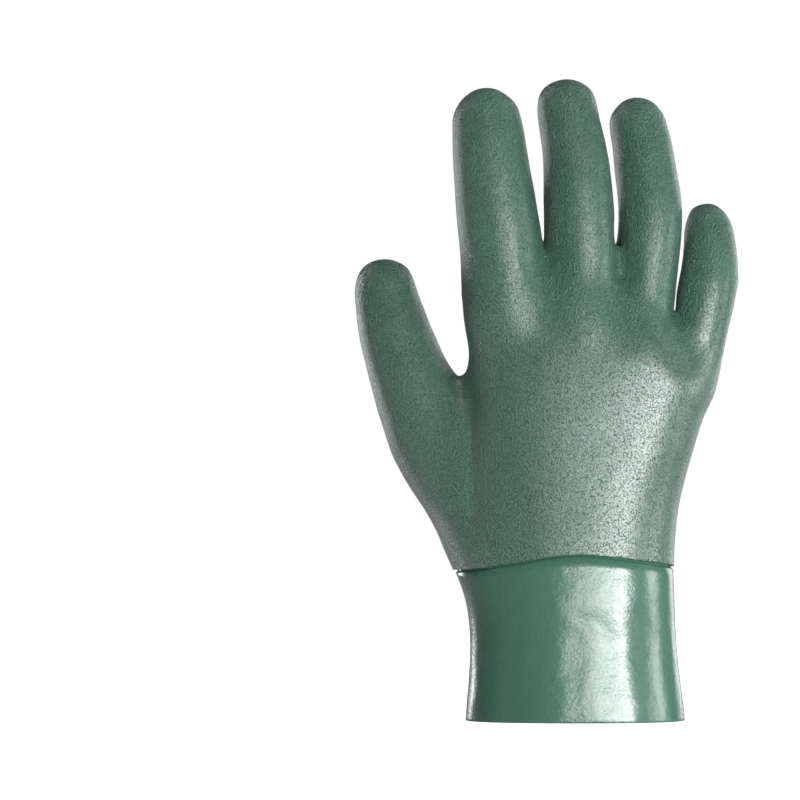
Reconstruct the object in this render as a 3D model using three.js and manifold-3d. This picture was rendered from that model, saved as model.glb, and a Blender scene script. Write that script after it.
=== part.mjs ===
// A PVC coated work glove for the right hand, in millimetres: a smooth flared cuff, and over its upper end
// the thick rough coat of the hand, with four fingers and a thumb. It stands on the cuff's rim with the
// fingers up. +Z is up, the back of the hand faces -Y, the thumb is towards -X, and the origin is under
// the glove's middle.
import Module from "manifold-3d";
import * as THREE from "three";
import { LoftGeometry } from "three/addons/geometries/LoftGeometry.js";
import { mergeVertices } from "three/addons/utils/BufferGeometryUtils.js";

const wasm = await Module();
wasm.setup();

// Sizes of the cuff
const rimWidth = 90; // across the open rim
const rimDepth = 66; // from back to palm at the open rim
const wristWidth = 83.6;
const wristDepth = 60;
const cuffHeight = 67.6; // from the rim to the coat's edge, at the middle of the back
const cuffWall = 2.1;

// Sizes of the coat
const palmLength = 117; // from the coat's edge to the web between middle and ring finger
const palmWidth = 104;
const palmDepth = 44;
const coatWall = 2;
const coatStep = 0.5; // how far the coat stands out over the cuff
const lipWall = 1.1; // the coat's thickness where it laps over the cuff
const lapLength = 9;
const lapGap = 0.3; // between the lap and the cuff under it
const edgeFallThumb = 6.8; // how much lower the coat's edge runs at the thumb's side
const edgeFallLittle = 5.2; // and at the little finger's side
const edgeFallPalm = 2; // and on the palm

// Sizes of the fingers: from the root inside the palm to the tip, and the width at the base
const indexLength = 91.5;
const indexWidth = 34;
const middleLength = 100.5;
const middleWidth = 30;
const ringLength = 103.5;
const ringWidth = 26.4;
const littleLength = 69.5;
const littleWidth = 24.4;
const fingerFlat = 0.95; // depth of a finger against its width
const webBlend = 9; // how softly the fingers run into the palm
const knuckleRound = 20; // how softly the palm ends between them

// Sizes of the thumb
const thumbLength = 138; // from the root inside the wrist to the tip, straight up
const thumbWidth = 31;
const thumbBlend = 21;

// Sections of the hand without its fingers and thumb, from the rim upwards. "shift" moves a section
// towards the little finger, as a share of its width, and "bow" towards the palm's side, as a share of its
// depth. "square" is 2 for an ellipse and more for a squarer one. Here "up" is a share of the cuff's
// height.
const cuffRows = [
  { up: 0, wide: rimWidth, deep: rimDepth, shift: -0.002, bow: 0, square: 2.25 },
  { up: 0.13, wide: rimWidth * 0.985, deep: rimDepth * 0.98, shift: -0.004, bow: 0, square: 2.25 },
  { up: 0.31, wide: rimWidth * 0.951, deep: rimDepth * 0.945, shift: -0.008, bow: 0, square: 2.25 },
  { up: 0.51, wide: wristWidth * 1.005, deep: wristDepth * 1.01, shift: -0.012, bow: 0, square: 2.25 },
  { up: 0.78, wide: wristWidth * 0.978, deep: wristDepth, shift: -0.006, bow: 0, square: 2.3 },
  { up: 1, wide: wristWidth * 0.978, deep: wristDepth * 0.97, shift: -0.012, bow: 0.009, square: 2.35 },
];

// Here "up" is a share of the palm's length above the cuff's height.
const palmRows = [
  { up: 0.19, wide: palmWidth * 0.826, deep: palmDepth * 1.24, shift: -0.006, bow: 0.018, square: 2.4 },
  { up: 0.41, wide: palmWidth * 0.892, deep: palmDepth * 1.13, shift: 0.032, bow: 0.02, square: 2.45 },
  { up: 0.63, wide: palmWidth * 0.962, deep: palmDepth * 1.01, shift: 0.07, bow: 0.023, square: 2.4 },
  { up: 0.8, wide: palmWidth * 0.988, deep: palmDepth * 0.86, shift: 0.089, bow: 0.026, square: 2.3 },
  { up: 1, wide: palmWidth * 1.01, deep: palmDepth * 0.62, shift: 0.082, bow: 0.055, square: 2.2 },
];
const knuckleLow = 0.58; // share of the palm's length where the palm ends at the little finger
const knuckleHigh = 1; // and at the index finger

// Lines along the middle of each finger. Its root is "rootSide" of the palm's width towards the little
// finger, "rootUp" of the palm's length above the coat's edge and "rootBow" of the palm's depth towards
// the palm's side. "along" is a share of the finger's length. "side" (towards the little finger), "curl"
// (towards the palm's side) and "thick" (the width there) are shares of its width.
const fingers = [
  {
    length: indexLength,
    width: indexWidth,
    rootSide: -0.274,
    rootUp: 0.83,
    rootBow: -0.023,
    path: [
      { along: 0, side: 0, curl: 0, thick: 0.93 },
      { along: 0.24, side: -0.03, curl: 0.02, thick: 1 },
      { along: 0.45, side: -0.1, curl: 0.03, thick: 0.97 },
      { along: 0.63, side: -0.16, curl: 0.07, thick: 0.92 },
      { along: 0.78, side: -0.2, curl: 0.14, thick: 0.87 },
      { along: 0.845, side: -0.22, curl: 0.18, thick: 0.83 },
    ],
  },
  {
    length: middleLength,
    width: middleWidth,
    rootSide: 0.025,
    rootUp: 0.79,
    rootBow: -0.023,
    path: [
      { along: 0, side: 0, curl: 0, thick: 0.95 },
      { along: 0.22, side: 0, curl: 0.04, thick: 1 },
      { along: 0.46, side: -0.04, curl: 0.09, thick: 0.97 },
      { along: 0.66, side: -0.08, curl: 0.17, thick: 0.9 },
      { along: 0.79, side: -0.15, curl: 0.27, thick: 0.85 },
      { along: 0.876, side: -0.2, curl: 0.34, thick: 0.83 },
    ],
  },
  {
    length: ringLength,
    width: ringWidth,
    rootSide: 0.26,
    rootUp: 0.7,
    rootBow: 0.045,
    path: [
      { along: 0, side: 0, curl: 0, thick: 0.95 },
      { along: 0.24, side: 0.02, curl: 0.05, thick: 1 },
      { along: 0.52, side: 0.13, curl: 0.16, thick: 1 },
      { along: 0.74, side: 0.04, curl: 0.36, thick: 0.95 },
      { along: 0.87, side: -0.03, curl: 0.54, thick: 0.89 },
      { along: 0.889, side: -0.06, curl: 0.57, thick: 0.88 },
    ],
  },
  {
    length: littleLength,
    width: littleWidth,
    rootSide: 0.452,
    rootUp: 0.62,
    rootBow: 0.091,
    path: [
      { along: 0, side: 0, curl: 0, thick: 0.9 },
      { along: 0.3, side: 0.16, curl: 0.02, thick: 0.95 },
      { along: 0.49, side: 0.26, curl: 0.08, thick: 1 },
      { along: 0.63, side: 0.31, curl: 0.16, thick: 0.95 },
      { along: 0.77, side: 0.31, curl: 0.27, thick: 0.89 },
      { along: 0.855, side: 0.28, curl: 0.35, thick: 0.82 },
    ],
  },
];

// The same for the thumb, with its root inside the wrist.
const thumb = {
  length: thumbLength,
  width: thumbWidth,
  rootSide: -0.192,
  rootUp: -0.15,
  rootBow: 0.045,
  path: [
    { along: 0, side: 0, curl: 0, thick: 0.76 },
    { along: 0.14, side: -0.44, curl: 0.08, thick: 1 },
    { along: 0.29, side: -0.78, curl: 0.25, thick: 1.09 },
    { along: 0.43, side: -1.17, curl: 0.42, thick: 1.12 },
    { along: 0.58, side: -1.43, curl: 0.57, thick: 1.08 },
    { along: 0.7, side: -1.61, curl: 0.7, thick: 1.01 },
    { along: 0.81, side: -1.76, curl: 0.79, thick: 0.92 },
    { along: 0.905, side: -1.85, curl: 0.85, thick: 0.82 },
  ],
};

// Dents and folds of the skin, each along a line from one spot to another. "side" is a share of the palm's
// width towards the little finger, "bow" of its depth towards the palm's side and "up" of its length above
// the coat's edge. "deep" is a share of the coat's wall, negative where the skin swells, and "wide" of the
// palm's width.
const folds = [
  {
    name: "dip between index and middle finger, on the back",
    from: { side: -0.125, bow: -0.386, up: 1.043 },
    to: { side: -0.115, bow: -0.455, up: 0.821 },
    deep: 0.65,
    wide: 0.058,
  },
  {
    name: "dip between middle and ring finger, on the back",
    from: { side: 0.178, bow: -0.341, up: 0.974 },
    to: { side: 0.192, bow: -0.409, up: 0.752 },
    deep: 0.8,
    wide: 0.058,
  },
  {
    name: "crease that goes on from the gap of middle and ring finger",
    from: { side: 0.16, bow: -0.005, up: 1.12 },
    to: { side: 0.19, bow: -0.136, up: 0.96 },
    deep: 1.5,
    wide: 0.03,
  },
  {
    name: "dip between ring and little finger, on the back",
    from: { side: 0.394, bow: -0.273, up: 0.821 },
    to: { side: 0.423, bow: -0.318, up: 0.667 },
    deep: 0.9,
    wide: 0.053,
  },
  {
    name: "fold of the palm around the thumb's root",
    from: { side: -0.288, bow: 0.591, up: 0.667 },
    to: { side: -0.115, bow: 0.591, up: 0.171 },
    deep: 1.2,
    wide: 0.087,
  },
  {
    name: "dip between index and middle finger, in the palm",
    from: { side: -0.115, bow: 0.545, up: 0.889 },
    to: { side: -0.096, bow: 0.545, up: 0.752 },
    deep: 0.9,
    wide: 0.058,
  },
  {
    name: "dip between middle and ring finger, in the palm",
    from: { side: 0.154, bow: 0.545, up: 0.838 },
    to: { side: 0.154, bow: 0.568, up: 0.701 },
    deep: 0.9,
    wide: 0.058,
  },
  {
    name: "dip between ring and little finger, in the palm",
    from: { side: 0.365, bow: 0.5, up: 0.718 },
    to: { side: 0.346, bow: 0.545, up: 0.598 },
    deep: 0.8,
    wide: 0.058,
  },
  {
    name: "ball of the little finger, in the palm",
    from: { side: 0.288, bow: 0.591, up: 0.171 },
    to: { side: 0.404, bow: 0.318, up: 0.496 },
    deep: -0.7,
    wide: 0.115,
  },
];

// How finely the skin is cut up
const cellsThumbToIndex = 15;
const cellsPerFinger = 5;
const cellsDeep = 15;
const cellsUp = 38;
const ringPoints = 60;

const clamp = (value, low, high) => Math.min(high, Math.max(low, value));

const smoothMin = (a, b, reach) => {
  const near = Math.max(reach - Math.abs(a - b), 0) / reach;
  return Math.min(a, b) - near * near * reach * 0.25;
};

// A value between table rows, on a curve through the rows.
function between(rows, places, place, read) {
  let i = 0;
  while (i < rows.length - 2 && places[i + 1] < place) {
    i += 1;
  }
  const span = places[i + 1] - places[i];
  const t = clamp((place - places[i]) / span, 0, 1);
  const slope = (at) => {
    const before = Math.max(at - 1, 0);
    const after = Math.min(at + 1, rows.length - 1);
    return (read(rows[after]) - read(rows[before])) / (places[after] - places[before]);
  };
  const start = read(rows[i]);
  const end = read(rows[i + 1]);
  const keepStart = (1 + 2 * t) * (1 - t) * (1 - t);
  const keepEnd = t * t * (3 - 2 * t);
  const leave = t * (1 - t) * (1 - t) * span * slope(i);
  const arrive = t * t * (t - 1) * span * slope(i + 1);
  return start * keepStart + end * keepEnd + leave + arrive;
}

const bodyRows = [...cuffRows, ...palmRows];
const bodyPlaces = [
  ...cuffRows.map((row) => row.up * cuffHeight),
  ...palmRows.map((row) => cuffHeight + row.up * palmLength),
];

// Depth under the skin of the hand without fingers and thumb, negative inside.
function bodyDepth(x, y, z) {
  const at = (read) => between(bodyRows, bodyPlaces, z, read);
  const square = at((row) => row.square);
  const halfWide = at((row) => row.wide) / 2;
  const halfDeep = at((row) => row.deep) / 2;
  const u = Math.abs(x - at((row) => row.shift * row.wide)) / halfWide;
  const v = Math.abs(y - at((row) => row.bow * row.deep)) / halfDeep;
  const reach = Math.max((u ** square + v ** square) ** (1 / square), 0.2);
  const slopeX = (u / reach) ** (square - 1) / halfWide;
  const slopeY = (v / reach) ** (square - 1) / halfDeep;
  const around = (reach - 1) / Math.max(Math.hypot(slopeX, slopeY), 0.5 / halfWide);
  const across = clamp((x + palmWidth * 0.4) / palmWidth, 0, 1);
  const top = cuffHeight + palmLength * (knuckleHigh + (knuckleLow - knuckleHigh) * across ** 2.4);
  return -smoothMin(-around, top - z, knuckleRound);
}

// The middle line of a finger as short straight pieces.
function lineOf(finger) {
  const places = finger.path.map((row) => row.along);
  const steps = 14;
  const spots = [];
  for (let i = 0; i <= steps; i += 1) {
    const along = (places[places.length - 1] * i) / steps;
    const at = (read) => between(finger.path, places, along, read);
    spots.push({
      x: finger.rootSide * palmWidth + at((row) => row.side) * finger.width,
      y: finger.rootBow * palmDepth + at((row) => row.curl) * finger.width,
      z: cuffHeight + finger.rootUp * palmLength + along * finger.length,
      r: (at((row) => row.thick) * finger.width) / 2,
    });
  }
  return spots;
}

// Depth under the skin of one finger.
function lineDepth(spots, x, y, z) {
  let least = Infinity;
  for (let i = 0; i < spots.length - 1; i += 1) {
    const a = spots[i];
    const b = spots[i + 1];
    const dx = b.x - a.x;
    const dy = b.y - a.y;
    const dz = b.z - a.z;
    const along = (x - a.x) * dx + (y - a.y) * dy + (z - a.z) * dz;
    const t = clamp(along / (dx * dx + dy * dy + dz * dz), 0, 1);
    const away = Math.hypot(x - a.x - t * dx, (y - a.y - t * dy) / fingerFlat, z - a.z - t * dz);
    least = Math.min(least, away - a.r - t * (b.r - a.r));
  }
  return least;
}

const fingerLines = fingers.map(lineOf);
const thumbLine = lineOf(thumb);

const spotOn = ({ side, bow, up }) =>
  new THREE.Vector3(side * palmWidth, bow * palmDepth, cuffHeight + up * palmLength);

const foldLines = folds.map((fold) => ({
  from: spotOn(fold.from),
  step: spotOn(fold.to).sub(spotOn(fold.from)),
  deep: fold.deep * coatWall,
  wide: fold.wide * palmWidth,
}));

function foldDepth(x, y, z) {
  let sum = 0;
  for (const { from, step, deep, wide } of foldLines) {
    const dx = x - from.x;
    const dy = y - from.y;
    const dz = z - from.z;
    const t = clamp((dx * step.x + dy * step.y + dz * step.z) / step.lengthSq(), 0, 1);
    const away = Math.hypot(dx - t * step.x, dy - t * step.y, dz - t * step.z);
    sum += deep * Math.exp(-((away / wide) ** 2));
  }
  return sum;
}

// Depth under the skin of the whole glove, negative inside.
function depth(x, y, z) {
  const body = smoothMin(bodyDepth(x, y, z), lineDepth(thumbLine, x, y, z), thumbBlend);
  let least = body;
  for (const line of fingerLines) {
    if (z > line[0].z - line[0].r - webBlend) {
      least = Math.min(least, smoothMin(body, lineDepth(line, x, y, z), webBlend));
    }
  }
  return least + foldDepth(x, y, z);
}

// Where the line between two fingers lies at a place, so that the cells on each side belong to one finger
// only.
function gapSide(left, right, y, z) {
  const at = (line) => {
    const top = line[line.length - 1];
    const share = clamp((z - line[0].z) / (top.z - line[0].z), 0, 1) * (line.length - 1);
    const i = Math.min(Math.floor(share), line.length - 2);
    const t = share - i;
    return {
      x: line[i].x + t * (line[i + 1].x - line[i].x),
      y: line[i].y + t * (line[i + 1].y - line[i].y),
      r: line[i].r + t * (line[i + 1].r - line[i].r),
    };
  };
  const a = at(left);
  const b = at(right);
  const share = (1 + (a.r - b.r) / (b.x - a.x)) / 2;
  const lean = (b.y - a.y) / (b.x - a.x);
  return a.x + (b.x - a.x) * share - clamp(y - (a.y + b.y) / 2, -palmDepth * 0.32, palmDepth * 0.32) * lean;
}

// A closed skin at the given depth, from the floor of the coat up, as a manifold solid.
function skinSolid(inset, coarse) {
  const floor = cuffHeight * 0.615;
  const spare = coatWall * 3;
  const ends = fingerLines.map((line) => line[line.length - 1]);
  const roof = Math.max(...ends.map((spot) => spot.z + spot.r)) + spare;
  const leftEnd = Math.min(...thumbLine.map((spot) => spot.x - spot.r)) - spare;
  const littleLine = fingerLines[3];
  const rightEnd = Math.max(...littleLine.map((spot) => spot.x + spot.r)) + spare;
  const backEnd = -wristDepth * 0.633;
  const palmEnd = Math.max(wristDepth / 2, ...thumbLine.map((spot) => spot.y + spot.r)) + spare;
  const counts = [cellsThumbToIndex, cellsPerFinger, cellsPerFinger, cellsPerFinger];
  const perBand = counts.map((count) => Math.round(count * coarse));
  const nx = perBand.reduce((sum, count) => sum + count, 0);
  const ny = Math.round(cellsDeep * coarse);
  const nz = Math.round(cellsUp * coarse);
  const level = (x, y, z) => Math.max(depth(x, y, z) + inset, floor + cuffHeight * 0.148 - z);
  const spots = [];
  const values = [];
  const spotAt = (i, j, k) => (k * (ny + 1) + j) * (nx + 1) + i;
  for (let k = 0; k <= nz; k += 1) {
    const z = floor + ((roof - floor) * k) / nz;
    for (let j = 0; j <= ny; j += 1) {
      const y = backEnd + ((palmEnd - backEnd) * j) / ny;
      const knots = [leftEnd];
      for (let finger = 0; finger < 3; finger += 1) {
        knots.push(gapSide(fingerLines[finger], fingerLines[finger + 1], y, z));
      }
      knots.push(rightEnd);
      for (let band = 0; band < 4; band += 1) {
        const last = band === 3 ? perBand[band] : perBand[band] - 1;
        for (let step = 0; step <= last; step += 1) {
          const x = knots[band] + ((knots[band + 1] - knots[band]) * step) / perBand[band];
          spots.push([x, y, z]);
          values.push(level(x, y, z));
        }
      }
    }
  }
  const corners = [];
  for (let corner = 0; corner < 8; corner += 1) {
    corners.push([corner & 1, (corner >> 1) & 1, corner >> 2]);
  }
  const cellPoint = new Map();
  const points = [];
  for (let k = 0; k < nz; k += 1) {
    for (let j = 0; j < ny; j += 1) {
      for (let i = 0; i < nx; i += 1) {
        const ids = corners.map(([a, b, c]) => spotAt(i + a, j + b, k + c));
        const sum = [0, 0, 0];
        let crossings = 0;
        for (let a = 0; a < 8; a += 1) {
          for (let bit = 1; bit < 8; bit *= 2) {
            const b = a | bit;
            const here = values[ids[a]];
            const there = values[ids[b]];
            if (b !== a && here < 0 !== there < 0) {
              const t = here / (here - there);
              for (let axis = 0; axis < 3; axis += 1) {
                sum[axis] += spots[ids[a]][axis] + t * (spots[ids[b]][axis] - spots[ids[a]][axis]);
              }
              crossings += 1;
            }
          }
        }
        if (crossings > 0) {
          cellPoint.set(spotAt(i, j, k), points.length);
          points.push(sum.map((value) => value / crossings));
        }
      }
    }
  }
  const quads = [];
  const steps = [[1, 0, 0], [0, 1, 0], [0, 0, 1]];
  for (let k = 1; k < nz; k += 1) {
    for (let j = 1; j < ny; j += 1) {
      for (let i = 1; i < nx; i += 1) {
        for (let axis = 0; axis < 3; axis += 1) {
          const [u, v] = [steps[(axis + 1) % 3], steps[(axis + 2) % 3]];
          const here = values[spotAt(i, j, k)];
          const there = values[spotAt(i + steps[axis][0], j + steps[axis][1], k + steps[axis][2])];
          if (here < 0 !== there < 0) {
            const quad = [[0, 0], [1, 0], [1, 1], [0, 1]].map(([a, b]) =>
              cellPoint.get(
                spotAt(i - a * u[0] - b * v[0], j - a * u[1] - b * v[1], k - a * u[2] - b * v[2])),
            );
            quads.push(here < 0 ? quad : quad.reverse());
          }
        }
      }
    }
  }
  settle(points, quads, level);
  const triangles = [];
  for (const [a, b, c, d] of quads) {
    const apart = (p, q) => Math.hypot(...points[p].map((value, axis) => value - points[q][axis]));
    if (apart(a, c) < apart(b, d)) {
      triangles.push(a, b, c, a, c, d);
    } else {
      triangles.push(a, b, d, b, c, d);
    }
  }
  return new wasm.Manifold(
    new wasm.Mesh({
      numProp: 3,
      vertProperties: new Float32Array(points.flat()),
      triVerts: new Uint32Array(triangles),
    }),
  );
}

// Evens out the points of a skin and puts them back on it.
function settle(points, quads, level) {
  const friends = points.map(() => new Set());
  for (const quad of quads) {
    for (let i = 0; i < 4; i += 1) {
      friends[quad[i]].add(quad[(i + 1) % 4]);
      friends[quad[(i + 1) % 4]].add(quad[i]);
    }
  }
  for (let round = 0; round < 6; round += 1) {
    const moved = points.map((point, index) => {
      const mean = [0, 0, 0];
      for (const friend of friends[index]) {
        for (let axis = 0; axis < 3; axis += 1) {
          mean[axis] += points[friend][axis] / friends[index].size;
        }
      }
      return point.map((value, axis) => value + 0.5 * (mean[axis] - value));
    });
    moved.forEach((point, index) => {
      for (let pull = 0; pull < 2; pull += 1) {
        const [x, y, z] = point;
        const off = level(x, y, z);
        const slope = [
          level(x + 0.3, y, z) - level(x - 0.3, y, z),
          level(x, y + 0.3, z) - level(x, y - 0.3, z),
          level(x, y, z + 0.3) - level(x, y, z - 0.3),
        ].map((value) => value / 0.6);
        const steep = Math.max(slope[0] ** 2 + slope[1] ** 2 + slope[2] ** 2, 0.2);
        for (let axis = 0; axis < 3; axis += 1) {
          point[axis] -= clamp((off * slope[axis]) / steep, -2, 2);
        }
      }
      points[index] = point;
    });
  }
}

// Height of the coat's edge over the rim, all around.
function edgeHeight(angle) {
  const side = Math.cos(angle) ** 2 * (Math.cos(angle) < 0 ? edgeFallThumb : edgeFallLittle);
  return cuffHeight - side - edgeFallPalm * Math.max(Math.sin(angle), 0) ** 2;
}

// A ring of points around the glove at a depth under the skin. The height is a number or goes with the angle.
function ring(height, inset) {
  const points = [];
  for (let i = 0; i < ringPoints; i += 1) {
    const angle = (2 * Math.PI * i) / ringPoints;
    const z = typeof height === "number" ? height : height(angle);
    let near = wristDepth * 0.2;
    let far = rimWidth;
    for (let half = 0; half < 40; half += 1) {
      const middle = (near + far) / 2;
      const off = depth(middle * Math.cos(angle), middle * Math.sin(angle), z) + inset;
      near = off < 0 ? middle : near;
      far = off < 0 ? far : middle;
    }
    points.push(new THREE.Vector3(near * Math.cos(angle), near * Math.sin(angle), z));
  }
  return points;
}

// A ring of a set radius, at a height that goes with the angle.
function hoop(radius, height) {
  const points = [];
  for (let i = 0; i < ringPoints; i += 1) {
    const angle = (2 * Math.PI * i) / ringPoints;
    points.push(new THREE.Vector3(radius * Math.cos(angle), radius * Math.sin(angle), height(angle)));
  }
  return points;
}

function solidOf(loft) {
  const plain = new THREE.BufferGeometry();
  plain.setAttribute("position", loft.getAttribute("position"));
  plain.setIndex(loft.getIndex());
  const merged = mergeVertices(plain, 1e-4);
  return new wasm.Manifold(
    new wasm.Mesh({
      numProp: 3,
      vertProperties: Float32Array.from(merged.getAttribute("position").array),
      triVerts: Uint32Array.from(merged.getIndex().array),
    }),
  );
}

function geometryOf(solid) {
  const mesh = solid.getMesh();
  const geometry = new THREE.BufferGeometry();
  geometry.setAttribute("position", new THREE.BufferAttribute(mesh.vertProperties, 3));
  geometry.setIndex(new THREE.BufferAttribute(mesh.triVerts, 1));
  return geometry;
}

// The cuff: up the outside, in under the coat's edge, over the top and down the inside.
function cuffSolid() {
  const outside = [0, 0.13, 0.31, 0.51, 0.68, 0.84];
  const tongue = lipWall + lapGap;
  const inside = coatStep + cuffWall;
  const edge = (lift) => (angle) => edgeHeight(angle) + lift;
  const sections = [
    ...outside.map((share) => ring(share * edgeHeight(Math.PI), coatStep)),
    ring(edge(-lapLength * 0.13), coatStep),
    ring(edge(-lapLength * 0.045), tongue),
    ring(edge(lapLength * 0.5), tongue),
    ring(edge(lapLength - lapGap), tongue),
    ring(edge(lapLength - lapGap), inside),
    ring(edge(lapLength * 0.5), inside),
    ring(edge(-lapLength * 0.11), inside),
    ...outside.slice().reverse().map((share) => ring(share * edgeHeight(Math.PI), inside)),
    ring(0, coatStep),
  ];
  return solidOf(new LoftGeometry(sections));
}

// The coat of the hand, open at the wrist.
function coatSolid() {
  const low = cuffHeight * 0.555;
  const aside = palmWidth * 1.25;
  const lap = [
    ring(low, lipWall),
    ring((angle) => edgeHeight(angle) - lapLength * 0.45, lipWall),
    ring(edgeHeight, lipWall),
    ring((angle) => edgeHeight(angle) + lapLength * 0.5, lipWall),
    ring((angle) => edgeHeight(angle) + lapLength, lipWall),
    ring((angle) => edgeHeight(angle) + lapLength + coatWall * 0.5, lipWall + coatWall * 3),
  ];
  const under = [
    hoop(aside, () => low - cuffHeight * 0.15),
    hoop(aside, edgeHeight),
    hoop(aside * 0.55, edgeHeight),
    hoop(aside * 0.15, edgeHeight),
    hoop(aside * 0.03, () => cuffHeight + coatWall * 0.5),
  ];
  return skinSolid(0, 1)
    .subtract(skinSolid(coatWall, 0.84))
    .subtract(solidOf(new LoftGeometry(lap, { capStart: true, capEnd: true })))
    .subtract(solidOf(new LoftGeometry(under, { capStart: true, capEnd: true })));
}

const glove = new THREE.Group();

const hand = new THREE.Mesh(
  geometryOf(coatSolid()),
  new THREE.MeshStandardMaterial({ color: 0x56806f, roughness: 0.55, metalness: 0 }),
);
hand.name = "hand_shell";

const cuff = new THREE.Mesh(
  geometryOf(cuffSolid()),
  new THREE.MeshStandardMaterial({ color: 0x578672, roughness: 0.22, metalness: 0 }),
);
cuff.name = "cuff";

glove.add(hand, cuff);
const bounds = new THREE.Box3().setFromObject(glove);
const middle = bounds.getCenter(new THREE.Vector3());
for (const piece of [hand, cuff]) {
  piece.geometry.translate(-middle.x, -middle.y, -bounds.min.z);
}

export default glove;
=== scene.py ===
import math

import bmesh
import bpy
import numpy as np
from bpy.props import FloatProperty, FloatVectorProperty, IntProperty, PointerProperty
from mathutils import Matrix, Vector, noise
from mathutils.bvhtree import BVHTree


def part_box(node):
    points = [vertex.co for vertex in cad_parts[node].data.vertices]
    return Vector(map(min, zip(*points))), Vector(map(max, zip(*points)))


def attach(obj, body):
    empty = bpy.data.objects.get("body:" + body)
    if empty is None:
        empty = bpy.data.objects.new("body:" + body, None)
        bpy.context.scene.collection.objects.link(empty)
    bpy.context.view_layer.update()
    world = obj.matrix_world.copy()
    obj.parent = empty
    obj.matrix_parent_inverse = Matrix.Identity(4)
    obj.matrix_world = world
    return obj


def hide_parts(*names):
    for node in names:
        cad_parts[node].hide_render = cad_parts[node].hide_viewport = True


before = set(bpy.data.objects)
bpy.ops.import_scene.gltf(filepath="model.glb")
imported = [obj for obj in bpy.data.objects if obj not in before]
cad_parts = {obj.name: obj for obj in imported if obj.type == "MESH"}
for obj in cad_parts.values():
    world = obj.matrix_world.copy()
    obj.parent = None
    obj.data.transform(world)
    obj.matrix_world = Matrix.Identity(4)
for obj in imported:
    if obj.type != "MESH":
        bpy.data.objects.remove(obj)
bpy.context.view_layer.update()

bl_info = {
    "name": "PVC coated work glove",
    "version": (1, 0, 0),
    "blender": (4, 5, 0),
    "location": "View3D > Sidebar > Glove",
    "description": "Dresses a right-hand PVC work glove: rough dipped coat, smooth cuff, stage",
    "category": "Add Mesh",
}

MM = 0.001

# The coat's edge laps over the cuff. Heights near it are counted from its lowest point.
LAP_LENGTH = 9 * MM
SWELL_RISE = 12 * MM  # over this length above the lap, the skin's swell comes in
WALL_START = 8 * MM  # the edge arches up, so the wall gets thicker only this far above the lap
WALL_RISE = 4 * MM  # and over this length

# The crease on the back of the hand leans towards the little finger on its way down.
CREASE_LOW = 70 * MM
CREASE_HIGH = 141 * MM
CREASE_TOP_X = -32.5 * MM
CREASE_LEAN = 0.022
CREASE_WIDTH_HAND = 8 * MM  # how far it spreads, towards the middle of the hand
CREASE_WIDTH_THUMB = 4 * MM  # and towards the thumb
CREASE_END_LOW = 14 * MM  # lengths over which its two ends run out
CREASE_END_HIGH = 10 * MM

# The cuff's edges that turn more than this are sharp: those under the first height are the rim's,
# and those over the second the upper end's.
SHARP_TURN = math.radians(35)
RIM_HEIGHT = 1 * MM
UPPER_END_HEIGHT = 20 * MM
SWAY_END = 1 * MM  # the band's sway stops this far under the coat's edge
SWAY_FADE = 9 * MM  # and fades over this length

PULL_PASSES = 16  # the more, the less of the model's facets comes back with its size
FLOOR_RADIUS = 1.4
SENSOR_WIDTH = 36.0  # in millimetres, as the lens is

# Name, angle round the glove, height, distance, width, tallness, watts, and the height it aims at.
LIGHTS = (
    ("front", 7, 0.24, 2.2, 0.4, 0.45, 9, 0.12),
    ("key left", 20, 0.24, 2.2, 0.5, 0.45, 17, 0.12),
    ("key", 35, 0.2, 2.2, 0.5, 0.4, 29, 0.12),
    ("right", 80, 0.3, 2.0, 0.75, 0.6, 14, 0.12),
    ("right high", 100, 1.7, 1.5, 1.0, 1.0, 7, 0.12),
    ("right back", 145, 0.35, 2.0, 0.75, 1.0, 8, 0.12),
    ("left back", -140, 0.3, 2.0, 0.4, 0.7, 9, 0.12),
    ("left high", -95, 1.6, 1.4, 0.7, 0.7, 6, 0.13),
)


class Wire:
    """A node socket that maths can be written on: each operator adds a Math node."""

    def __init__(self, tree, socket):
        self.tree = tree
        self.socket = socket

    def maths(self, operation, first, second=None):
        node = self.tree.nodes.new("ShaderNodeMath")
        node.operation = operation
        for slot, value in enumerate((first, second)):
            if isinstance(value, Wire):
                self.tree.links.new(value.socket, node.inputs[slot])
            elif value is not None:
                node.inputs[slot].default_value = value
        return Wire(self.tree, node.outputs[0])

    def __add__(self, other):
        return self.maths("ADD", self, other)

    def __radd__(self, other):
        return self.maths("ADD", other, self)

    def __sub__(self, other):
        return self.maths("SUBTRACT", self, other)

    def __rsub__(self, other):
        return self.maths("SUBTRACT", other, self)

    def __mul__(self, other):
        return self.maths("MULTIPLY", self, other)

    def __rmul__(self, other):
        return self.maths("MULTIPLY", other, self)

    def clamped(self):
        return self.maths("MAXIMUM", self.maths("MINIMUM", self, 1.0), 0.0)


class Nodes:
    """Makes the nodes of one tree, all by one method."""

    def __init__(self, tree):
        self.tree = tree

    def node(self, kind, settings=None, inputs=None, output=0):
        """Adds a node, sets its settings first and then the values or links of its sockets."""
        made = self.tree.nodes.new(kind)
        for key, value in (settings or {}).items():
            setattr(made, key, value)
        for key, value in (inputs or {}).items():
            if isinstance(value, Wire):
                self.tree.links.new(value.socket, made.inputs[key])
            else:
                made.inputs[key].default_value = value
        return Wire(self.tree, made.outputs[output])


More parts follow.
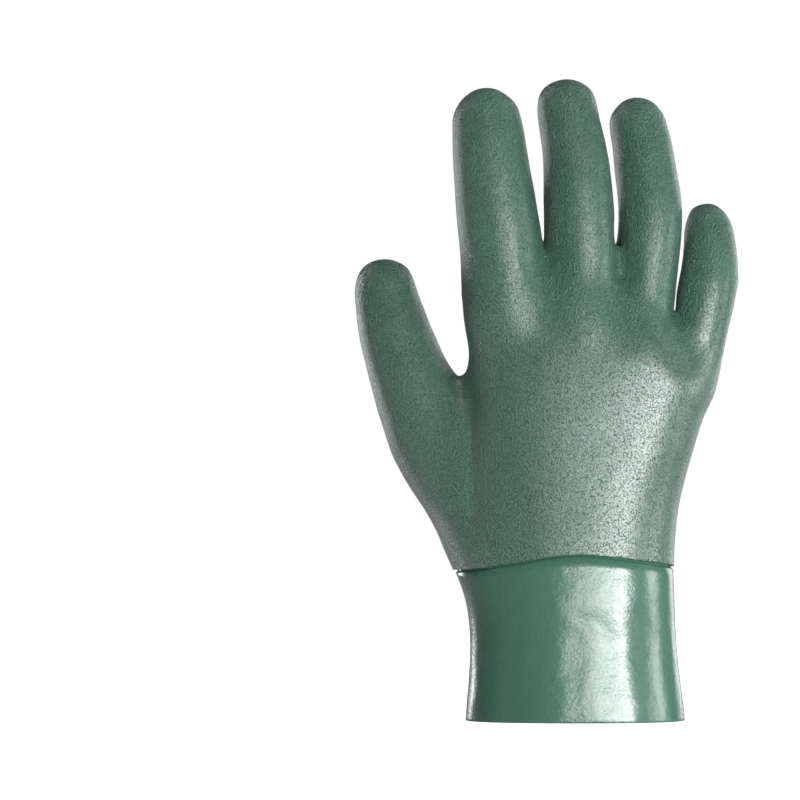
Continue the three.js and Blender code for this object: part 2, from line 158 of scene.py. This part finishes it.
class Finish(Nodes):
    """A material and the patterns that its look is made from."""

    def __init__(self, name):
        self.material = bpy.data.materials.new(name)
        self.material.use_nodes = True
        super().__init__(self.material.node_tree)
        self.shader = self.tree.nodes["Principled BSDF"]

    def place(self):
        """Where a point is on the piece, in metres."""
        return self.node("ShaderNodeTexCoord", output=3)

    def grain(self, place, size, detail=2.0, roughness=0.5, distortion=0.0):
        """Noise from 0 to 1 whose lumps are about that size, in metres."""
        return self.node(
            "ShaderNodeTexNoise",
            {"noise_dimensions": "3D"},
            {
                "Vector": place,
                "Scale": 1.0 / size,
                "Detail": detail,
                "Roughness": roughness,
                "Distortion": distortion,
            },
        )

    def between(self, share, low, high):
        """A colour between two others."""
        return self.node(
            "ShaderNodeMix",
            {"data_type": "RGBA", "blend_type": "MIX"},
            {0: share, 6: low, 7: high},
            output=2,
        )

    def feed(self, socket, value):
        """Links a socket of the shader, or sets its value."""
        if isinstance(value, Wire):
            self.tree.links.new(value.socket, self.shader.inputs[socket])
        else:
            self.shader.inputs[socket].default_value = value

    def relief(self, height, depth, strength=1.0):
        """Bumps the surface by a height whose range from 0 to 1 stands for that depth, in metres."""
        bump = self.node("ShaderNodeBump", None, {"Height": height, "Distance": depth, "Strength": strength})
        self.feed("Normal", bump)


def rgba(colour):
    return (colour[0], colour[1], colour[2], 1.0)


def colour_setting(name, description, default):
    return FloatVectorProperty(name=name, description=description, subtype="COLOR", size=3, default=default)


def length_setting(name, description, default):
    return FloatProperty(
        name=name, description=description, subtype="DISTANCE", unit="LENGTH", default=default
    )


class CoatSettings(bpy.types.PropertyGroup):
    """Sizes and colours of the rough coat."""

    colour: colour_setting("Green", "Colour of the coat", (0.086, 0.238, 0.167))
    # The colour low in the crinkle is a painted shade in its hollows.
    hollow_shade_colour: colour_setting("Painted shade in the hollows", "Colour low in the crinkle", (0.045, 0.135, 0.093))
    crinkle: length_setting("Crinkle size", "Width of one crinkle", 1.2 * MM)
    crinkle_depth: length_setting(
        "Crinkle depth", "What the crinkle's full range stands for, of which it uses a small part", 4.2 * MM
    )
    wall: length_setting("Wall", "Thickness of the coat", 2.0 * MM)
    lip: length_setting("Lip", "Thickness where it laps over the cuff", 1.1 * MM)
    sway: length_setting("Sway", "How far the skin swells and sinks", 0.3 * MM)
    palm_top: length_setting(
        "Palm top", "Height from which the finish gets duller towards the fingertips", 143 * MM
    )
    palm_fade: length_setting("Palm fade", "Length over which it gets duller", 30 * MM)
    crease: length_setting("Crease", "Depth of the crease from the thumb's web down", 2.4 * MM)
    fineness: IntProperty(
        name="Fineness", description="Times that the skin is divided", default=2, min=0, max=3
    )


class CuffSettings(bpy.types.PropertyGroup):
    """Sizes and colours of the smooth cuff."""

    colour: colour_setting("Green", "Colour of the cuff", (0.05, 0.137, 0.098))
    gloss: FloatProperty(name="Gloss roughness", description="0 is a mirror", default=0.27, min=0.0, max=1.0)
    dent: length_setting("Dents", "How far the soft band sways in and out", 0.35 * MM)
    rim_round: length_setting("Rim rounding", "Radius of the rim's edges", 0.5 * MM)


class StageSettings(bpy.types.PropertyGroup):
    """Floor, lights and camera."""

    floor_colour: colour_setting("Floor", "Colour of the floor", (0.9, 0.9, 0.9))
    camera_far: length_setting("Camera distance", "From the glove's middle", 3.2)
    camera_height: length_setting("Camera height", "Over the floor", 129.6 * MM)
    camera_side: length_setting("Camera side", "Towards the thumb", 59.1 * MM)
    picture_width: length_setting("Picture width", "Width that the picture takes in", 324.0 * MM)


def zero_to_one(value):
    """The value, or the nearer end where it is outside 0 to 1."""
    return min(max(value, 0.0), 1.0)


def merged_copy(node):
    """The mesh of a CAD node as a bmesh with its loose triangles joined."""
    made = bmesh.new()
    made.from_mesh(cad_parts[node].data)
    bmesh.ops.remove_doubles(made, verts=made.verts, dist=0.02 * MM)
    return made


def join_triangles(made, face_turn, shape_turn):
    """Makes four-sided faces of triangles that differ by less than these angles, in degrees."""
    bmesh.ops.join_triangles(
        made,
        faces=made.faces,
        angle_face_threshold=math.radians(face_turn),
        angle_shape_threshold=math.radians(shape_turn),
    )


def piece_from(made, name, finishes):
    """An object in the scene, made from a bmesh and its materials."""
    mesh = bpy.data.meshes.new(name)
    made.to_mesh(mesh)
    made.free()
    for finish in finishes:
        mesh.materials.append(finish)
    mesh.shade_smooth()
    piece = bpy.data.objects.new(name, mesh)
    bpy.context.scene.collection.objects.link(piece)
    return piece


def divide(piece, levels):
    """Divides the faces of a piece and rounds it."""
    made = piece.modifiers.new("divide", "SUBSURF")
    made.levels = made.render_levels = levels


def settle_modifiers(piece):
    """Makes what the modifiers give the piece's own mesh."""
    bpy.context.view_layer.update()
    shape = piece.evaluated_get(bpy.context.evaluated_depsgraph_get())
    mesh = bpy.data.meshes.new_from_object(shape)
    piece.modifiers.clear()
    piece.data = mesh


def skin_faces(made, start, sharpest):
    """The faces that can be reached from one face without crossing an edge that turns more than that."""
    found = {start}
    waiting = [start]
    while waiting:
        face = waiting.pop()
        for edge in face.edges:
            if len(edge.link_faces) != 2 or edge.calc_face_angle() > sharpest:
                continue
            for other in edge.link_faces:
                if other not in found:
                    found.add(other)
                    waiting.append(other)
    return found


def regain_size(piece, model):
    """Pushes a rounded skin back out to its model, softly enough to leave the model's facets out."""
    mesh = piece.data
    count = len(mesh.vertices)
    lost = np.array([model.find_nearest(vert.co)[0] - vert.co for vert in mesh.vertices])
    ends = np.empty(len(mesh.edges) * 2, dtype=np.int32)
    mesh.edges.foreach_get("vertices", ends)
    first, second = ends.reshape(-1, 2).T
    neighbours = np.bincount(ends, minlength=count)[:, None]
    for _ in range(PULL_PASSES):
        around = np.zeros((count, 3))
        np.add.at(around, first, lost[second])
        np.add.at(around, second, lost[first])
        lost = (lost + around / neighbours) / 2
    spots = np.empty(count * 3)
    mesh.vertices.foreach_get("co", spots)
    mesh.vertices.foreach_set("co", (spots.reshape(-1, 3) + lost).ravel())
    mesh.update()


def crease_at(spot, normal, settings):
    """How deep the crease that runs from the thumb's web down to the cuff is at a spot."""
    aside = spot.x - (CREASE_TOP_X + max(CREASE_HIGH - spot.z, 0.0) * CREASE_LEAN)
    width = CREASE_WIDTH_HAND if aside > 0 else CREASE_WIDTH_THUMB
    low_end = zero_to_one((spot.z - CREASE_LOW) / CREASE_END_LOW)
    high_end = zero_to_one((CREASE_HIGH - spot.z) / CREASE_END_HIGH)
    facing = zero_to_one(-normal.y * 3)
    return settings.crease * math.exp(-abs(aside) / width) * (low_end * high_end) * facing


def coat_finish(settings):
    """Rough green PVC: a fine crinkle under a soft sheen."""
    finish = Finish("rough green coat")
    place = finish.place()
    lumps = finish.grain(place, settings.crinkle * 0.56, detail=1.0, distortion=0.2)
    coarse = finish.grain(place, settings.crinkle * 2.4)
    height = 0.5 + (lumps - 0.5) * 0.8 + (coarse - 0.5) * 0.2
    patches = finish.grain(place, 34 * MM, detail=3.0, roughness=0.55)
    # The base colour is darker low in the crinkle, which is painted shade in its hollows; the broad patches
    # are tone that differs at random.
    finish.feed(
        "Base Color",
        finish.between(
            (0.5 + (height - 0.5) * 2.4 + (patches - 0.5) * 0.8).clamped(),
            rgba(settings.hollow_shade_colour),
            rgba(settings.colour),
        ),
    )
    finish.feed("Roughness", (0.38 + (coarse - 0.5) * 0.2 + (patches - 0.5) * 0.12).clamped())
    finish.feed("Specular IOR Level", 0.75)
    # The sheen lies on the tops of the lumps, and is weaker on the fingers.
    sheen = 0.64 + (lumps - 0.5) * 3.0
    along = finish.node("ShaderNodeSeparateXYZ", None, {0: place}, output=2)
    fingers = ((along - settings.palm_top) * (1 / settings.palm_fade)).clamped()
    finish.feed("Coat Weight", (sheen * (1 - fingers * 0.55)).clamped())
    finish.feed("Coat Roughness", 0.41)
    finish.feed("Coat IOR", 1.95)
    finish.relief(height, settings.crinkle_depth)
    return finish.material


def cuff_finish(settings):
    """Smooth glossy green PVC that shows a little of the cloth under it."""
    finish = Finish("smooth green cuff")
    place = finish.place()
    cloth = finish.grain(place, 1.1 * MM)
    sway = finish.grain(place, 9 * MM, detail=3.0)
    patches = finish.grain(place, 28 * MM)
    finish.feed(
        "Base Color",
        finish.between(
            (patches * 0.8 + cloth * 0.25).clamped(),
            rgba([value * 0.86 for value in settings.colour]),
            rgba([value * 1.08 for value in settings.colour]),
        ),
    )
    finish.feed("Roughness", (settings.gloss + (cloth - 0.5) * 0.08 + (patches - 0.5) * 0.06).clamped())
    finish.feed("Specular IOR Level", 0.6)
    finish.feed("Coat Weight", 0.08)
    finish.feed("Coat Roughness", 0.25)
    finish.relief((cloth * 0.15 + sway * 0.85).clamped(), 0.7 * MM, 0.6)
    return finish.material


def cotton_finish():
    """Pale knitted cotton, for the inner walls."""
    finish = Finish("pale cotton inside")
    place = finish.place()
    # At this scale a band of threads is about 1.2 mm wide.
    threads = finish.node(
        "ShaderNodeTexWave",
        {"wave_type": "BANDS", "bands_direction": "Z"},
        {"Vector": place, "Scale": 260.0, "Distortion": 1.2, "Detail": 2.0, "Detail Scale": 2.0},
        output=1,
    )
    fluff = finish.grain(place, 1.4 * MM, detail=3.0, roughness=0.6)
    finish.feed(
        "Base Color",
        finish.between((threads * 0.5 + fluff * 0.5).clamped(), (0.5, 0.5, 0.45, 1), (0.74, 0.73, 0.68, 1)),
    )
    finish.feed("Roughness", 0.92)
    finish.feed("Specular IOR Level", 0.25)
    finish.relief((threads * 0.6 + fluff * 0.4).clamped(), 0.3 * MM, 0.8)
    return finish.material


class GLOVE_OT_coat(bpy.types.Operator):
    """Models the rough coat of the hand over its CAD solid"""

    bl_idname = "glove.coat"
    bl_label = "Coat of the hand"

    def execute(self, context):
        settings = context.scene.glove_coat
        made = merged_copy("hand_shell")
        top = max(made.faces, key=lambda face: face.calc_center_median().z)
        skin = skin_faces(made, top, sharpest=math.radians(55))
        bmesh.ops.delete(made, geom=[face for face in made.faces if face not in skin], context="FACES")
        # Points that crowd the open edge are joined, so that the skin divides evenly there.
        edge_points = [vert for vert in made.verts if vert.is_boundary]
        bmesh.ops.remove_doubles(made, verts=edge_points, dist=0.9 * MM)
        model = BVHTree.FromBMesh(made)
        join_triangles(made, face_turn=50, shape_turn=60)
        piece = piece_from(made, "coat", [coat_finish(settings), cotton_finish()])
        divide(piece, settings.fineness)
        even = piece.modifiers.new("even", "SMOOTH")
        even.factor = 0.5
        even.iterations = 6
        settle_modifiers(piece)
        regain_size(piece, model)

        group = piece.vertex_groups.new(name="wall")
        lap_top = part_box("hand_shell")[0].z + LAP_LENGTH
        thin = settings.lip / settings.wall
        # All normals are read before the first point moves, because each move works them out again.
        normals = [vert.normal.copy() for vert in piece.data.vertices]
        for vert, normal in zip(piece.data.vertices, normals):
            spot = vert.co
            broad = noise.noise(spot / (21 * MM))
            narrow = noise.noise(spot / (9 * MM) + Vector((3, 7, 1)))
            swell = broad * 0.6 + narrow * 0.25
            fade = zero_to_one((spot.z - lap_top) / SWELL_RISE)
            sunk = crease_at(spot, normal, settings)
            vert.co = spot + normal * (swell * settings.sway * fade - sunk)
            rise = zero_to_one((spot.z - lap_top - WALL_START) / WALL_RISE)
            group.add([vert.index], thin + (1 - thin) * rise, "REPLACE")
        wall = piece.modifiers.new("wall", "SOLIDIFY")
        wall.thickness = settings.wall
        wall.offset = -1
        wall.vertex_group = "wall"
        wall.material_offset = 1
        wall.material_offset_rim = 0
        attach(piece, "root")
        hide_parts("hand_shell")
        return {"FINISHED"}


class GLOVE_OT_cuff(bpy.types.Operator):
    """Models the smooth cuff over its CAD solid"""

    bl_idname = "glove.cuff"
    bl_label = "Cuff"

    def execute(self, context):
        settings = context.scene.glove_cuff
        made = merged_copy("cuff")
        join_triangles(made, face_turn=40, shape_turn=80)
        sharp = [edge for edge in made.edges if edge.calc_face_angle(0) > SHARP_TURN]
        rim = [edge for edge in sharp if max(vert.co.z for vert in edge.verts) < RIM_HEIGHT]
        bmesh.ops.bevel(
            made, geom=rim, offset=settings.rim_round, segments=2, profile=0.5, affect="EDGES", material=-1
        )
        kept_sharp = made.edges.layers.float.new("crease_edge")
        for edge in made.edges:
            if edge.calc_face_angle(0) > SHARP_TURN and edge.verts[0].co.z > UPPER_END_HEIGHT:
                edge[kept_sharp] = 1.0
        centre = sum((vert.co for vert in made.verts), Vector()) / len(made.verts)
        for face in made.faces:
            away = face.calc_center_median() - centre
            inside = face.normal.x * away.x + face.normal.y * away.y < 0
            face.material_index = 1 if inside and abs(face.normal.z) < 0.5 else 0
        piece = piece_from(made, "cuff_band", [cuff_finish(settings), cotton_finish()])
        divide(piece, 2)
        settle_modifiers(piece)
        lap_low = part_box("hand_shell")[0].z
        for vert in piece.data.vertices:
            spot = vert.co
            out = Vector((spot.x - centre.x, spot.y - centre.y, 0)).normalized()
            flute = noise.noise(Vector((spot.x / (11 * MM), spot.y / (11 * MM), spot.z / (30 * MM))))
            ripple = noise.noise(spot / (6.5 * MM) + Vector((5, 2, 9)))
            fade = zero_to_one((lap_low - SWAY_END - spot.z) / SWAY_FADE)
            vert.co = spot + out * ((flute * 0.75 + ripple * 0.2) * settings.dent * fade)
        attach(piece, "root")
        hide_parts("cuff")
        return {"FINISHED"}


def soft_box(name, azimuth, height, far, width, tall, power, aim_height):
    """A rectangular light at an angle round the glove: 0 is at the camera and 90 to its right."""
    light = bpy.data.lights.new(name, "AREA")
    light.shape = "RECTANGLE"
    light.size = width
    light.size_y = tall
    light.energy = power
    lamp = bpy.data.objects.new(name, light)
    turn = math.radians(azimuth)
    lamp.location = (far * math.sin(turn), -far * math.cos(turn), height)
    aim = Vector((0, 0, aim_height)) - lamp.location
    lamp.rotation_mode = "QUATERNION"
    lamp.rotation_quaternion = aim.to_track_quat("-Z", "Y")
    lamp.visible_camera = False
    bpy.context.scene.collection.objects.link(lamp)


class GLOVE_OT_stage(bpy.types.Operator):
    """Makes the floor, the lights and the camera"""

    bl_idname = "glove.stage"
    bl_label = "Stage"

    def execute(self, context):
        settings = context.scene.glove_stage
        made = bmesh.new()
        bmesh.ops.create_circle(made, cap_ends=True, segments=96, radius=FLOOR_RADIUS)
        floor = piece_from(made, "floor", [])
        finish = Finish("plain floor")
        finish.feed("Base Color", rgba(settings.floor_colour))
        finish.feed("Roughness", 0.8)
        finish.feed("Specular IOR Level", 0.1)
        # The floor glows for the camera alone, so that the background is white and the glove unlit by it.
        seen = finish.node("ShaderNodeLightPath")
        finish.feed("Emission Color", finish.between(seen, (0, 0, 0, 1), (1, 1, 1, 1)))
        finish.feed("Emission Strength", 0.95)
        floor.data.materials.append(finish.material)

        world = bpy.data.worlds.new("pale room")
        world.use_nodes = True
        air = Nodes(world.node_tree)
        seen = air.node("ShaderNodeLightPath")
        strength = air.node("ShaderNodeMix", {"data_type": "FLOAT"}, {0: seen, 2: 0.1, 3: 1.0})
        background = air.tree.nodes["Background"]
        air.tree.links.new(strength.socket, background.inputs["Strength"])
        background.inputs["Color"].default_value = (1, 1, 1, 1)
        context.scene.world = world

        for name, azimuth, height, far, width, tall, power, aim_height in LIGHTS:
            soft_box(name, azimuth, height, far, width, tall, power, aim_height)

        camera = bpy.data.cameras.new("camera")
        camera.sensor_width = SENSOR_WIDTH
        camera.lens = SENSOR_WIDTH * settings.camera_far / settings.picture_width
        camera.clip_end = 100.0
        stand = bpy.data.objects.new("camera", camera)
        stand.location = (-settings.camera_side, -settings.camera_far, settings.camera_height)
        stand.rotation_euler = (math.radians(90), 0, 0)
        context.scene.collection.objects.link(stand)
        context.scene.camera = stand
        context.scene.view_settings.view_transform = "Standard"
        return {"FINISHED"}


class GLOVE_PT_panel(bpy.types.Panel):
    """Lists the glove's pieces and their settings"""

    bl_idname = "GLOVE_PT_panel"
    bl_label = "Work glove"
    bl_space_type = "VIEW_3D"
    bl_region_type = "UI"
    bl_category = "Glove"

    def draw(self, context):
        for settings, operator in (
            (context.scene.glove_coat, GLOVE_OT_coat),
            (context.scene.glove_cuff, GLOVE_OT_cuff),
            (context.scene.glove_stage, GLOVE_OT_stage),
        ):
            box = self.layout.box()
            for name in settings.__annotations__:
                box.prop(settings, name)
            box.operator(operator.bl_idname)


CLASSES = (
    CoatSettings,
    CuffSettings,
    StageSettings,
    GLOVE_OT_coat,
    GLOVE_OT_cuff,
    GLOVE_OT_stage,
    GLOVE_PT_panel,
)


def register():
    for made in CLASSES:
        bpy.utils.register_class(made)
    bpy.types.Scene.glove_coat = PointerProperty(type=CoatSettings)
    bpy.types.Scene.glove_cuff = PointerProperty(type=CuffSettings)
    bpy.types.Scene.glove_stage = PointerProperty(type=StageSettings)


def unregister():
    del bpy.types.Scene.glove_coat
    del bpy.types.Scene.glove_cuff
    del bpy.types.Scene.glove_stage
    for made in reversed(CLASSES):
        bpy.utils.unregister_class(made)


def main():
    register()
    bpy.ops.glove.stage()
    bpy.ops.glove.coat()
    bpy.ops.glove.cuff()
    bpy.context.view_layer.update()


if __name__ == "__main__":
    main()
